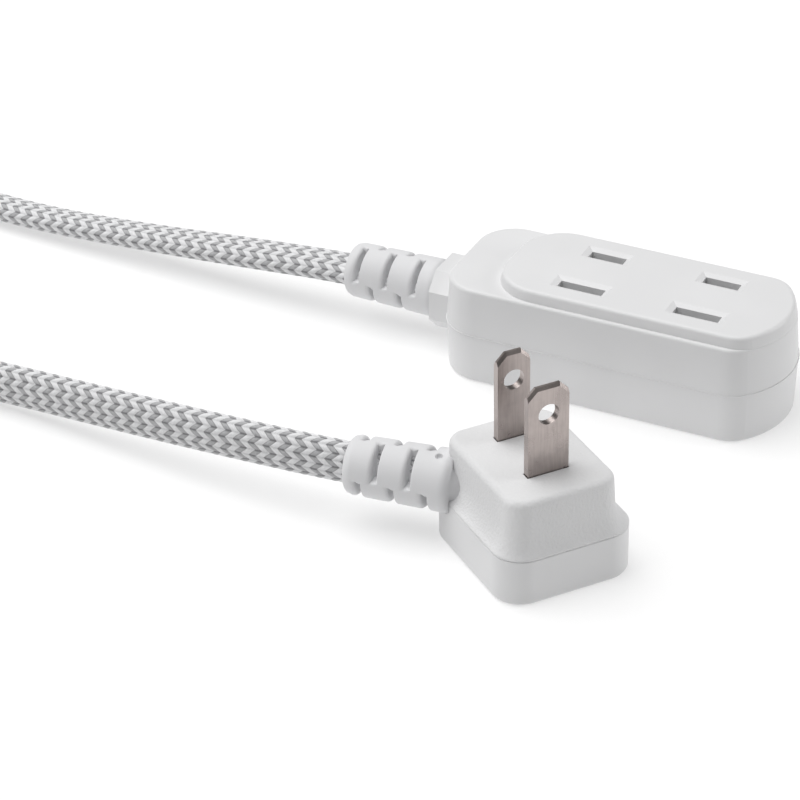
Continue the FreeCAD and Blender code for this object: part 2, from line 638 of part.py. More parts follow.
# ---------------------------------------------------------------- strain reliefs
def strain_relief(name, label, seat, neck, roll, mark, placement):
    """A slotted sleeve. Its own frame has the axis along +X and the root of the sleeve at 0."""
    body = new_body(name)
    profile = sketch_on(body, name + "Profile", "XZ_Plane")
    polygon(profile, [(f"-{neck} - flange_thick", "0"), ("relief_length", "0"),
                      ("relief_length", "relief_tip - relief_round"),
                      ("relief_length - relief_round * 0.3", "relief_tip - relief_round * 0.3"),
                      ("relief_length - relief_round", "relief_tip"),
                      ("0", "relief_root"), (f"-{seat}", "relief_root + 0.01"),
                      (f"-{seat}", "neck_radius"), (f"-{neck}", "neck_radius"),
                      (f"-{neck}", "relief_flange"), (f"-{neck} - flange_thick", "relief_flange")])
    sleeve = body.newObject("PartDesign::Revolution", name + "Sleeve")
    sleeve.Profile = profile
    sleeve.ReferenceAxis = (profile, ["H_Axis"])
    sleeve.Angle = 360
    doc.recompute()
    for side in range(4):
        cuts = sketch_on(body, f"{name}SlotPlan{side}", "XZ_Plane", axis=Vector(1, 0, 0), angle=90 * side)
        rows = (0, 2, 4) if side % 2 == 0 else (1, 3)
        for row in rows:
            centre = f"relief_length - first_slot - {row} * slot_pitch"
            rectangle(cuts, f"{centre} - relief_slot / 2", f"{centre} + relief_slot / 2",
                      "slot_floor", "relief_root + 1")
        groove = body.newObject("PartDesign::Groove", f"{name}Slots{side}")
        before = body.Shape.Volume
        groove.Profile = cuts
        groove.ReferenceAxis = (cuts, ["H_Axis"])
        groove.setExpression("Angle", cell("slot_sweep"))
        groove.Midplane = True
        doc.recompute()
        cut_changes(body, before, groove.Name)
    bore = sketch_on(body, name + "BorePlan", "YZ_Plane", base=Vector(0, 0, -10),
                     axis=Vector(0, 0, 1), angle=45)
    rounded(bore, "-lead_wide", "lead_wide", "-lead_thin", "lead_thin", "lead_thin - 0.1", "lead_thin - 0.1")
    pocket(body, name + "Bore", bore, "relief_length + 12", reverse=True)
    if mark is not None:
        dimple = sketch_on(body, name + "MarkPlan", "XY_Plane", axis=Vector(1, 0, 0), angle=mark)
        circle(dimple, "mark_place", "0", "mark_radius")
        pocket(body, name + "Mark", dimple, "relief_root + 1", reverse=True)
        fill = sketch_on(body, name + "MarkFloorPlan", "XY_Plane", axis=Vector(1, 0, 0), angle=mark)
        circle(fill, "mark_place", "0", "mark_radius")
        pad(body, name + "MarkFloor", fill, "relief_root - mark_depth")
    placed = placement.multiply(FreeCAD.Placement(Vector(), FreeCAD.Rotation(Vector(1, 0, 0), roll)))
    return keep(body, label, placed)


# ---------------------------------------------------------------- plug
def entry_sketch(body, name, depth):
    """A sketch square to the cord entry, which leaves the plug by its corner at 45 degrees."""
    base = Vector(-depth * DIAGONAL, 0, -depth * DIAGONAL)
    return sketch_on(body, name, "XZ_Plane", base=base, axis=Vector(0, 1, 0), angle=-135)


def relief_seat(body, name):
    """The stepped hole in the thick corner, for the strain relief's sleeve and neck."""
    steps = (("Neck", "neck_radius", "thick_corner - 1"), ("Sleeve", "relief_root + 0.01", "socket_depth"))
    for step, radius, depth in steps:
        sketch = entry_sketch(body, name + step + "Plan", size(depth))
        circle(sketch, "0", "entry_height", radius)
        pocket(body, name + step, sketch, "12", reverse=True)


def cavity_corners(left, right, near, far):
    """Inner outline of the plug, with its cord corner cut square to the cord."""
    reach = f"thick_corner / {DIAGONAL}"
    return [(left, near), (right, near), (right, far), (f"{far} - {reach}", far),
            (left, f"{left} + {reach}")]


def plug_back_cover():
    body = new_body("PlugBackCover")
    plan = sketch_on(body, "BasePlan")
    rounded(plan, "-base_left", "base_right", "-base_near", "base_far", "base_corner", "base_corner")
    pad(body, "Base", plan, "step_height")
    soften(body, "BaseFootRound", "foot_round", level(0))
    soften(body, "BaseStepRound", "step_round", level(size("step_height")))
    cavity = sketch_on(body, "BaseCavityPlan", height="step_height")
    polygon(cavity, cavity_corners("-base_left + plug_wall", "base_right - plug_wall",
                                   "-base_near + plug_wall", "base_far - plug_wall"))
    pocket(body, "BaseCavity", cavity, "step_height - plug_wall")
    relief_seat(body, "BaseSeat")
    return keep(body, "plug_back_cover", plug_place)


def plug_front_cover():
    body = new_body("PlugFrontCover")
    foot = sketch_on(body, "FrontFootPlan", height="step_height")
    rounded(foot, "-front_left - front_spread", "front_right + front_spread", "-front_near - front_spread",
            "front_far + front_spread", "front_corner + front_spread", "front_corner + front_spread")
    pad(body, "FrontShell", foot, "front_height - step_height", taper="-front_draft")
    soften(body, "FrontRound", "front_round", level(size("front_height")))
    base = ("-base_left", "base_right", "-base_near", "base_far", "base_corner", "base_corner")
    lip = sketch_on(body, "FrontLipPlan", height="step_height")
    rounded(lip, *base)
    pad(body, "FrontLip", lip, "lip_height")
    flare = sketch_on(body, "FrontFlarePlan", height="step_height + lip_height")
    rounded(flare, *base)
    pad(body, "FrontFlare", flare, "flare_height", taper="-flare_draft")
    cavity = sketch_on(body, "FrontCavityPlan", height="step_height")
    polygon(cavity, cavity_corners("-front_left + plug_wall", "front_right - plug_wall",
                                   "-front_near + plug_wall", "front_far - plug_wall"))
    pocket(body, "FrontCavity", cavity, "front_height - step_height - plug_wall", reverse=True)
    relief_seat(body, "FrontSeat")
    room = entry_sketch(body, "FlangeRoomPlan", size("thick_corner - flange_thick"))
    circle(room, "0", "entry_height", "relief_flange")
    pocket(body, "FlangeRoom", room, "flange_thick", reverse=True)
    holes = sketch_on(body, "BladeHolePlan", height="front_height")
    blade_cuts(holes)
    pocket(body, "BladeHoles", holes, "plug_wall + 1")
    return keep(body, "plug_front_cover", plug_place)


def blade_cuts(sketch):
    for side, width in (("-", "neutral_width"), ("", "hot_width")):
        rectangle(sketch, f"-{width} / 2", f"{width} / 2", f"{side}blade_offset - blade_thick / 2",
                  f"{side}blade_offset + blade_thick / 2")


def blade_carrier():
    body = new_body("BladeCarrier")
    plan = sketch_on(body, "BlockPlan", height="block_low")
    polygon(plan, [("-block_left", "-block_near"), ("block_right", "-block_near"),
                   ("block_right", "block_far"), ("-block_left + block_cut", "block_far"),
                   ("-block_left", "block_far - block_cut")])
    pad(body, "Block", plan, "front_height - plug_wall - block_low")
    holes = sketch_on(body, "BlockHolePlan", height="front_height")
    blade_cuts(holes)
    pocket(body, "BlockHoles", holes, "front_height - block_low + 1")
    return keep(body, "blade_carrier", plug_place)


def blade(name, label, side, width):
    body = new_body(name)
    tip = "front_height + blade_length"
    outline = sketch_on(body, name + "Outline", "XZ_Plane", f"{side}blade_offset")
    half = f"{width} / 2"
    polygon(outline, [("-tail_half", "tail_low"), ("tail_half", "tail_low"), ("tail_half", "shank_low"),
                      (half, "shank_low"), (half, f"{tip} - blade_corner"),
                      (f"{half} - blade_corner", tip), (f"-{half} + blade_corner", tip),
                      (f"-{half}", f"{tip} - blade_corner"), (f"-{half}", "shank_low"),
                      ("-tail_half", "shank_low")])
    pad(body, name + "Sheet", outline, "blade_thick", both=True)
    hole = sketch_on(body, name + "HolePlan", "XZ_Plane", f"{side}blade_offset")
    circle(hole, "0", "front_height + hole_height", "blade_hole")
    pocket(body, name + "Hole", hole, "blade_thick + 1", both=True)
    low = size(f"{tip} - blade_corner") - 0.05
    long_side = size("blade_thick") + 0.01

    def tip_edge(edge):
        box = edge.BoundBox
        return box.ZMin > low and box.YLength < 0.01 and max(box.XLength, box.ZLength) > long_side / 2

    soften(body, name + "Bevel", "tip_bevel", tip_edge, kind="Chamfer")
    return keep(body, label, plug_place)


# ---------------------------------------------------------------- coil and its tie
def cylinder(name, radius, low, height):
    shape = doc.addObject("Part::Cylinder", name)
    shape.setExpression("Radius", cell(radius))
    shape.setExpression("Height", cell(height))
    shape.setExpression("Placement.Base.x", cell("coil_x"))
    shape.setExpression("Placement.Base.y", cell("coil_y"))
    shape.setExpression("Placement.Base.z", cell(low))
    return shape


def boolean(kind, name, base, tool):
    result = doc.addObject("Part::" + kind, name)
    result.Base = base
    result.Tool = tool
    doc.recompute()
    return result


def coil_ring(name, gap):
    outer = cylinder(name + "Outer", f"coil_outer - {gap}", gap, f"coil_height - 2 * {gap}")
    inner = cylinder(name + "Inner", f"coil_inner + {gap}", "-1", "coil_height + 2")
    return boolean("Cut", name, outer, inner)


def coil_and_tie():
    ring = coil_ring("CoilRing", "0")
    core = coil_ring("TieCore", "tie_thick")
    band = doc.addObject("Part::Box", "TieBand")
    band.setExpression("Length", cell("coil_outer - coil_inner + 4"))
    band.setExpression("Width", cell("tie_width"))
    band.setExpression("Height", cell("coil_height + 2"))
    band.setExpression("Placement.Base.x", cell("coil_x - coil_outer - 2"))
    band.setExpression("Placement.Base.y", cell("coil_y - tie_width / 2"))
    band.setExpression("Placement.Base.z", cell("-1"))
    slice_of_ring = boolean("Common", "TieSlice", ring, band)
    tie = boolean("Cut", "CoilTie", slice_of_ring, core)
    coil = boolean("Cut", "CordCoil", ring, tie)
    keep(coil, "cord_coil")
    keep(tie, "coil_tie")


# ---------------------------------------------------------------- assembly
lower_housing()
upper_housing()
face_plate()
contact_carrier()
contact_strip("NeutralStrip", "neutral_contact_strip", -1)
contact_strip("HotStrip", "hot_contact_strip", 1)
for number, outlet in ((1, "-outlet_offset"), (2, "outlet_offset")):
    shutter(number, outlet)
    shutter_spring(number, outlet)

bar_root = Vector(-size("bar_left + collar_length + bar_seat"), 0, size("cord_height"))
strain_relief("BarRelief", "bar_strain_relief", "bar_seat",
              "(bar_seat + collar_length + wall + roof_inset)", -45, None,
              FreeCAD.Placement(bar_root, FreeCAD.Rotation(Vector(0, 0, 1), 180)))

plug_back_cover()
plug_front_cover()
blade_carrier()
blade("NeutralBlade", "neutral_blade", "", "neutral_width")
blade("HotBlade", "hot_blade", "-", "hot_width")
plug_exit = size("plug_turn") + 135
relief_start = plug_point(size("plug_relief_root"), 0, size("entry_height"))
strain_relief("PlugRelief", "plug_strain_relief", "(plug_relief_root - socket_depth)",
              "(plug_relief_root - thick_corner)", 45, -57,
              FreeCAD.Placement(relief_start, FreeCAD.Rotation(Vector(0, 0, 1), plug_exit)))

coil_and_tie()

# leads inside the bar, from the end of the cord to the contact strips
inside = -size("bar_left - wall - roof_inset - flange_thick")
for side, label in ((-1, "bar_neutral_lead"), (1, "bar_hot_lead")):
    out = side * size("blade_offset")
    start = side * size("lead_spread")
    tube(label, [(inside, start, size("cord_height")), (inside + 3.2, start, size("cord_height")),
                 (inside + 8, out, 9.6), (-size("carrier_left") + 3, out + side * 0.9, 9.6)],
         size("lead_radius"))

# leads inside the plug, from the end of the cord to the tails of the blades
tail = -size("tail_half")
offset = size("blade_offset")
spread = size("lead_spread")
entry = size("entry_height")
cord_end = size("thick_corner + 1.5")
tube("plug_hot_lead", [plug_point(cord_end, spread, entry), plug_point(cord_end - 2.9, spread, entry),
                       plug_place.multVec(Vector(tail - 2.1, offset, 8.6)),
                       plug_place.multVec(Vector(tail, offset, 8.6))], size("lead_radius"))
tube("plug_neutral_lead", [plug_point(cord_end, -spread, entry), plug_point(cord_end - 2.7, -spread, entry),
                           plug_place.multVec(Vector(-7.0, -1.5, 9.2)),
                           plug_place.multVec(Vector(-4.8, -offset, 8.6)),
                           plug_place.multVec(Vector(tail, -offset, 8.6))], size("lead_radius"))

# the lead outside the bar: out of its strain relief, down to the surface and into the coil
BAR_ROUTE = [
    (inside, 0, 10.5),
    (-61.0, 0, 10.5),
    (-86.0, 0.0, 8.5),
    (-112.0, 1.3, 5.7),
    (-138.0, 2.6, 3.8),
    (-160.0, 4.4, 3.4),
    (-182.0, 14.6, 4.0),
    (-204.0, 24.1, 4.4),
]
# the lead outside the plug, on its way to the other side of the coil
PLUG_ROUTE = [
    tuple(plug_point(cord_end, 0, entry)),
    tuple(plug_point(33.0, 0, entry)),
    (-58.0, -64.1, 10.2),
    (-83.0, -61.6, 7.8),
    (-109.0, -58.8, 5.4),
    (-135.0, -58.8, 4.4),
    (-160.0, -63.6, 5.2),
    (-185.0, -71.2, 9.4),
    (-209.0, -77.7, 12.9),
]
tube("cord_bar_side", BAR_ROUTE, size("cord_radius"))
tube("cord_plug_side", PLUG_ROUTE, size("cord_radius"))

# ---------------------------------------------------------------- check and write
doc.recompute()
for obj in doc.Objects:
    if "Invalid" in obj.State or "Error" in obj.State:
        raise RuntimeError(obj.Name + " failed")
os.makedirs("parts", exist_ok=True)
for part in parts:
    shape = part.Shape
    if shape.isNull() or not shape.isValid():
        raise RuntimeError(part.Label + " has no valid shape")
    shape.exportStep(f"parts/{part.Label}.step")
    box = shape.BoundBox
    print(f"{part.Label:24s} solids {len(shape.Solids)}  volume {shape.Volume:9.1f}  "
          f"x {box.XMin:7.1f} {box.XMax:7.1f}  y {box.YMin:6.1f} {box.YMax:6.1f}  z {box.ZMin:5.1f} {box.ZMax:5.1f}")
print(len(parts), "sub-parts")
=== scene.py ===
# %% [markdown]
# # A two-outlet extension cord
# The cord set has a flat outlet bar, a flat plug that leaves its cord at 45 degrees, and a lead
# with a woven sleeve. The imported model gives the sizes. This script gives the looks.

# %% Load the frame
import math

import bmesh
import bpy
import numpy as np
from mathutils import Matrix, Vector


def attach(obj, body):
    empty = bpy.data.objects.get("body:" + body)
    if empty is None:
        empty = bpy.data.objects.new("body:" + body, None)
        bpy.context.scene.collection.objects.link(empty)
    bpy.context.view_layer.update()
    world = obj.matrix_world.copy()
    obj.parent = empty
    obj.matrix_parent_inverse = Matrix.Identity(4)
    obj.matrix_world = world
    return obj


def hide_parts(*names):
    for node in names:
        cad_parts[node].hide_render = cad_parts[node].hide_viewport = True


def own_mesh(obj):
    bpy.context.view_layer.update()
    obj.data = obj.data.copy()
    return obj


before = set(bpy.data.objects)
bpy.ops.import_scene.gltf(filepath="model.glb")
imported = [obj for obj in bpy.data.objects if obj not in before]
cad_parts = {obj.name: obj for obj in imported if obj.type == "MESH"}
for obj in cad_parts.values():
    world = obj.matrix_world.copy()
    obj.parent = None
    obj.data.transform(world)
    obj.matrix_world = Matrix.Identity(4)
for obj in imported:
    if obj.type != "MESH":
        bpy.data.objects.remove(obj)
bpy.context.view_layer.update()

MM = 0.001
UP = Vector((0, 0, 1))
ROOT = "cord_set"
scene = bpy.context.scene
print("nodes in the frame:", len(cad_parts))

# %% [markdown]
# ## The camera
# A long lens from the front right, looking down by a third of a right angle. The sideways
# shift keeps both ends of the object in the picture without turning the camera.

# %% Camera
camera_data = bpy.data.cameras.new("long_lens")
camera_data.sensor_width = 36
camera_data.lens = 139.95
camera_data.shift_x = -0.1214
camera_data.shift_y = 0.0005
camera_data.clip_start = 0.02
camera = bpy.data.objects.new("camera", camera_data)
camera.location = Vector((186.7, -474.7, 316.9)) * MM
camera.rotation_euler = (math.radians(90 - 32.2), 0, math.radians(24.755))
scene.collection.objects.link(camera)
scene.camera = camera
scene.view_settings.view_transform = "Standard"
print("camera at", [round(x, 3) for x in camera.location])

# %% [markdown]
# ## The lead's route
# A braided two-core lead is springy and heavy enough to lie on the table within a hand's width
# of each end. The spare length is wound into a flat coil of two layers: the lower one runs
# inward, the upper one comes back out. One spline carries the whole lead, so nothing breaks
# where a straight part meets the coil.

# %% Points of the route, outside the coil
bar_route = [
    (-0.0347, 0.0, 0.0105), (-0.0610, 0.0, 0.0105), (-0.0860, 0.0, 0.0085),
    (-0.1120, 0.0013, 0.0055), (-0.1380, 0.0026, 0.0032), (-0.1600, 0.0044, 0.0029),
    (-0.1820, 0.0146, 0.0041), (-0.2040, 0.0241, 0.0044),
]
plug_route = [
    (-0.0098, -0.0616, 0.0115), (-0.0311, -0.0644, 0.0115), (-0.0580, -0.0641, 0.0102),
    (-0.0830, -0.0616, 0.0078), (-0.1090, -0.0588, 0.0054), (-0.1350, -0.0588, 0.0044),
    (-0.1600, -0.0636, 0.0052), (-0.1850, -0.0712, 0.0094), (-0.2090, -0.0777, 0.0129),
]

# %% Points of the coil
coil_centre = Vector((-222.0, -26.0, 0)) * MM
points_per_turn = 18
outer_radius, inner_radius = 53.4 * MM, 34.2 * MM
lower_height, upper_height = 4.3 * MM, 13.0 * MM
tie_angle = 180.0
tie_reach = 26.0
lower_lift, layer_press = 0.55 * MM, 1.0 * MM
first_angle, last_angle = 70.2, 284.1 + 7 * 360
middle_angle = (first_angle + last_angle) / 2
climb = 105.0


def ease(t):
    """Smooth step from 0 to 1."""
    t = np.clip(t, 0.0, 1.0)
    return t * t * (3 - 2 * t)


def tie_grip(angle):
    """1 under the tie, 0 away from it."""
    away = abs((angle - tie_angle + 180) % 360 - 180)
    return 1 - ease((away - tie_reach * 0.4) / (tie_reach * 0.6))


def coil_point(angle):
    inward = abs(angle - middle_angle) / (middle_angle - first_angle)
    radius = inner_radius + (outer_radius - inner_radius) * inward
    rise = ease((angle - middle_angle + climb) / (2 * climb))
    height = lower_height + (upper_height - lower_height) * rise
    height += tie_grip(angle) * (lower_lift - layer_press * rise)
    # a spline cuts inside its corners, so the corners lie a little further out
    radius /= math.cos(math.pi / points_per_turn)
    turn = math.radians(angle)
    return coil_centre + Vector((math.cos(turn) * radius, math.sin(turn) * radius, height))


steps = round((last_angle - first_angle) / 360 * points_per_turn)
coil_points = [coil_point(first_angle + (last_angle - first_angle) * i / steps)
               for i in range(1, steps)]
route = bar_route + [tuple(p) for p in coil_points] + plug_route[::-1]
print("coil turns:", round((last_angle - first_angle) / 360, 2), "route points:", len(route))


# %% The smooth line through the route
def smooth_line(points):
    """The points of a NURBS line with these control points."""
    curve = bpy.data.curves.new("route", "CURVE")
    curve.dimensions = "3D"
    spline = curve.splines.new("NURBS")
    spline.points.add(len(points) - 1)
    for knot, point in zip(spline.points, points):
        knot.co = (*point, 1)
    spline.order_u = 3
    spline.use_endpoint_u = True
    spline.resolution_u = 40
    holder = bpy.data.objects.new("route", curve)
    scene.collection.objects.link(holder)
    bpy.context.view_layer.update()
    mesh = bpy.data.meshes.new_from_object(holder)
    line = np.array([v.co for v in mesh.vertices])
    bpy.data.objects.remove(holder)
    bpy.data.curves.remove(curve)
    bpy.data.meshes.remove(mesh)
    return line


line = smooth_line(route)
along = np.concatenate([[0], np.cumsum(np.linalg.norm(np.diff(line, axis=0), axis=1))])
total = float(along[-1])
print("length of the lead:", round(total, 3), "m")

# %% [markdown]
# ## The woven sleeve
# A braiding machine lays 32 yarns round the two cores, half of them each way. Each yarn passes
# over two others and under two, so the sleeve shows columns of short slanting stitches that lean
# left and right in turn, and together read as zigzags. Every second zigzag is a grey yarn.
# Near the two ends the stitches are real relief in the mesh. In the coil the same pattern is
# colour and bump, because there it only has to hold up from further away.

# %% Where the rings of the tube lie
COLUMNS = 16
PERIOD = 3.08 * MM
WHITE_SHARE = 0.57
AROUND = 64
fine_step, coarse_step = 0.33 * MM, 3.0 * MM
fine_start, fine_end = 128 * MM, total - 122 * MM
fade = 8 * MM
relief_depth = 0.26 * MM


def coarse_share(distance):
    """0 near the two ends, where the relief is in the mesh, and 1 in between."""
    return ease((distance - fine_start) / fade) * ease((fine_end - distance) / fade)


def ring_places():
    places = [0.0]
    while places[-1] < total:
        here = places[-1]
        places.append(here + fine_step + (coarse_step - fine_step) * coarse_share(here))
    places[-1] = total
    return np.array(places)


places = ring_places()
centres = np.stack([np.interp(places, along, line[:, axis]) for axis in range(3)], axis=1)
print("rings:", len(places))


# %% How the flat lead turns about its own line
chord_reach = 1.2 * MM


def heading(distance):
    """Unit direction of the line, from a short chord about each place."""
    low = np.clip(distance - chord_reach, 0, total)
    high = np.clip(distance + chord_reach, 0, total)
    chord = np.stack([np.interp(high, along, line[:, a]) - np.interp(low, along, line[:, a])
                      for a in range(3)], axis=1)
    return chord / np.linalg.norm(chord, axis=1, keepdims=True)


forward = heading(places)
side = np.cross(np.array(UP), forward)
side /= np.linalg.norm(side, axis=1, keepdims=True)
lift = np.cross(forward, side)
first_twist, second_twist = 13, 77
first_twist_start, second_twist_start, twist_length = 45 * MM, 120 * MM, 55 * MM
tilt = np.radians(first_twist * ease((places - first_twist_start) / twist_length)
                  + second_twist * ease((places - second_twist_start) / twist_length))
wide_way = np.cos(tilt)[:, None] * side + np.sin(tilt)[:, None] * lift
thin_way = np.cos(tilt)[:, None] * lift - np.sin(tilt)[:, None] * side

# %% The section of the lead, with points spaced evenly round it
wide, thin = 4.225 * MM, 2.5 * MM
fullness = 2.25
dense = np.linspace(0, 2 * math.pi, 2881)
oval = np.stack([wide * np.sign(np.cos(dense)) * np.abs(np.cos(dense)) ** (2 / fullness),
                 thin * np.sign(np.sin(dense)) * np.abs(np.sin(dense)) ** (2 / fullness)], axis=1)
round_it = np.concatenate([[0], np.cumsum(np.linalg.norm(np.diff(oval, axis=0), axis=1))])
perimeter = round_it[-1]
even = np.arange(AROUND) / AROUND * perimeter
section = np.stack([np.interp(even, round_it, oval[:, axis]) for axis in range(2)], axis=1)
ahead, behind = np.roll(section, -1, axis=0), np.roll(section, 1, axis=0)
outward = np.stack([(ahead - behind)[:, 1], -(ahead - behind)[:, 0]], axis=1)
outward /= np.linalg.norm(outward, axis=1, keepdims=True)
print("perimeter of the lead:", round(perimeter / MM, 2), "mm")


# %% Height of the stitches
def stitch_height(column, period):
    """Height of the sleeve, 0 to 1, at a place counted in columns round and periods along."""
    lean = np.abs(column % 2 - 1)
    turn = (period - 0.5 * lean) % 1
    place = np.where(turn < WHITE_SHARE, turn / WHITE_SHARE, (turn - WHITE_SHARE) / (1 - WHITE_SHARE))
    across = np.abs(place * 2 - 1)
    lengthwise = np.abs(column % 1 * 2 - 1)
    yarn = np.sqrt(np.clip(1 - across ** 2.2, 0, 1))
    dive = np.clip(1 - lengthwise ** 3.0, 0, 1)
    return yarn * (0.35 + 0.65 * dive)


column = np.arange(AROUND)[None, :] / AROUND * COLUMNS
period = places[:, None] / PERIOD
fine = 1 - coarse_share(places)
mean_height = 0.7
height = stitch_height(column, period)
height = fine[:, None] * height + (1 - fine[:, None]) * mean_height
angle_here = np.degrees(np.arctan2(centres[:, 1] - coil_centre.y, centres[:, 0] - coil_centre.x))
coil_start, coil_end = 165 * MM, total - 190 * MM
in_coil = (places > coil_start) & (places < coil_end)
grip = np.where(in_coil, [tie_grip(a) for a in angle_here], 0)
tie_squeeze = 0.085
squeeze = 1 - tie_squeeze * grip
offset = (height - 1) * relief_depth
width_part = section[None, :, 0] * squeeze[:, None] + outward[None, :, 0] * offset
thin_part = section[None, :, 1] + outward[None, :, 1] * offset
skin = (centres[:, None, :] + width_part[:, :, None] * wide_way[:, None, :]
        + thin_part[:, :, None] * thin_way[:, None, :])


# %% Turn the rings into a mesh
def ring_mesh(name, rings, loop=False, uv=None):
    """A skin over rings of equal count, closed with caps or joined into a loop.

    uv gives the columns round and the periods along.
    """
    rows, count = rings.shape[:2]
    row = np.arange(rows if loop else rows - 1)[:, None]
    after = (row + 1) % rows
    place = np.arange(count)[None, :]
    beside = (place + 1) % count
    quads = np.stack([row * count + place, row * count + beside,
                      after * count + beside, after * count + place], axis=-1).reshape(-1, 4)
    faces = [tuple(int(x) for x in quad) for quad in quads]
    if not loop:
        faces.append(tuple(range(count))[::-1])
        faces.append(tuple(range((rows - 1) * count, rows * count)))
    mesh = bpy.data.meshes.new(name)
    mesh.from_pydata(rings.reshape(-1, 3).tolist(), [], faces)
    if uv is not None:
        across, along_rings = uv
        left, right = across[:-1], across[1:]
        low, high = along_rings[:-1], along_rings[1:]
        corners = np.zeros((rows - 1, count, 4, 2), np.float32)
        corners[:, :, (0, 3), 0] = left[None, :, None]
        corners[:, :, (1, 2), 0] = right[None, :, None]
        corners[:, :, (0, 1), 1] = low[:, None, None]
        corners[:, :, (2, 3), 1] = high[:, None, None]
        flat = np.zeros((len(mesh.loops), 2), np.float32)
        flat[:corners.size // 2] = corners.reshape(-1, 2)
        mesh.uv_layers.new(name="weave").data.foreach_set("uv", flat.ravel())
    mesh.validate()
    mesh.update()
    mesh.shade_smooth()
    piece = bpy.data.objects.new(name, mesh)
    scene.collection.objects.link(piece)
    return piece


lead = ring_mesh("braided_lead", skin, uv=(np.arange(AROUND + 1) / AROUND * COLUMNS, places / PERIOD))
print("faces of the lead:", len(lead.data.polygons))

# %% Turn the faces outward
def face_outward(piece):
    work = bmesh.new()
    work.from_mesh(piece.data)
    bmesh.ops.recalc_face_normals(work, faces=work.faces)
    work.to_mesh(piece.data)
    work.free()


face_outward(lead)

# %% [markdown]
# ## Strain reliefs
# Where a lead leaves its housing it would break at the edge, so a soft sleeve is moulded over it.
# Slots cut round the sleeve, each row turned a quarter from the last, let it bend like a spring.
# The sleeve is a grid of distance along and angle round. The grid has close lines at the edges
# of the slots, so the walls are steep and their edges still have a small rounding.

# %% Shape of a slotted sleeve
sleeve_length, tip_radius, root_radius = 18.2, 5.45, 5.8
tip_round, slot_floor, bore_radius = 1.6, 2.8, 2.0
neck_radius, neck_length, bore_wide, bore_thin = 4.3, 2.2, 4.3, 2.6
slot_half_angle = 41.0
slot_rows = [14.98, 11.86, 8.74, 5.62, 2.5]
sharp_lip, soft_lip = 0.28, 0.95
edge_lines = [-0.95, -0.72, -0.5, -0.33, -0.2, -0.1, -0.03, 0.0, 0.06, 0.14, 0.3]
mark_radius, mark_depth, mark_place = 0.6, 0.8, 0.9
mark_lines = np.linspace(-0.7, 0.7, 15)
wall_run, shoulder_power = 0.08, 1.3
bore_depths, bore_floor = (0.8, 2.4), 2.6


def grid_lines(edges, low, high, gap):
    """Lines near each edge, and enough between them that no gap is wide."""
    lines = sorted({round(x, 4) for x in [*edges, low, high] if low <= x <= high})
    kept = [lines[0]]
    for x in lines[1:]:
        pieces = max(1, math.ceil((x - kept[-1]) / gap))
        if x - kept[-1] > 1e-3:
            kept += [kept[-1] + (x - kept[-1]) * (i + 1) / pieces for i in range(pieces)]
    return np.array(kept)


def slot_depth(inside, depth, lip):
    """How far the surface drops at a distance inside the edge of a slot with a rounded lip."""
    shoulder = np.clip(1 + inside / lip, 0, 1) ** shoulder_power
    rounding = lip * (1 - np.sqrt(1 - shoulder ** 2))
    wall = ease(inside / wall_run)
    return rounding * (1 - wall) + depth * wall


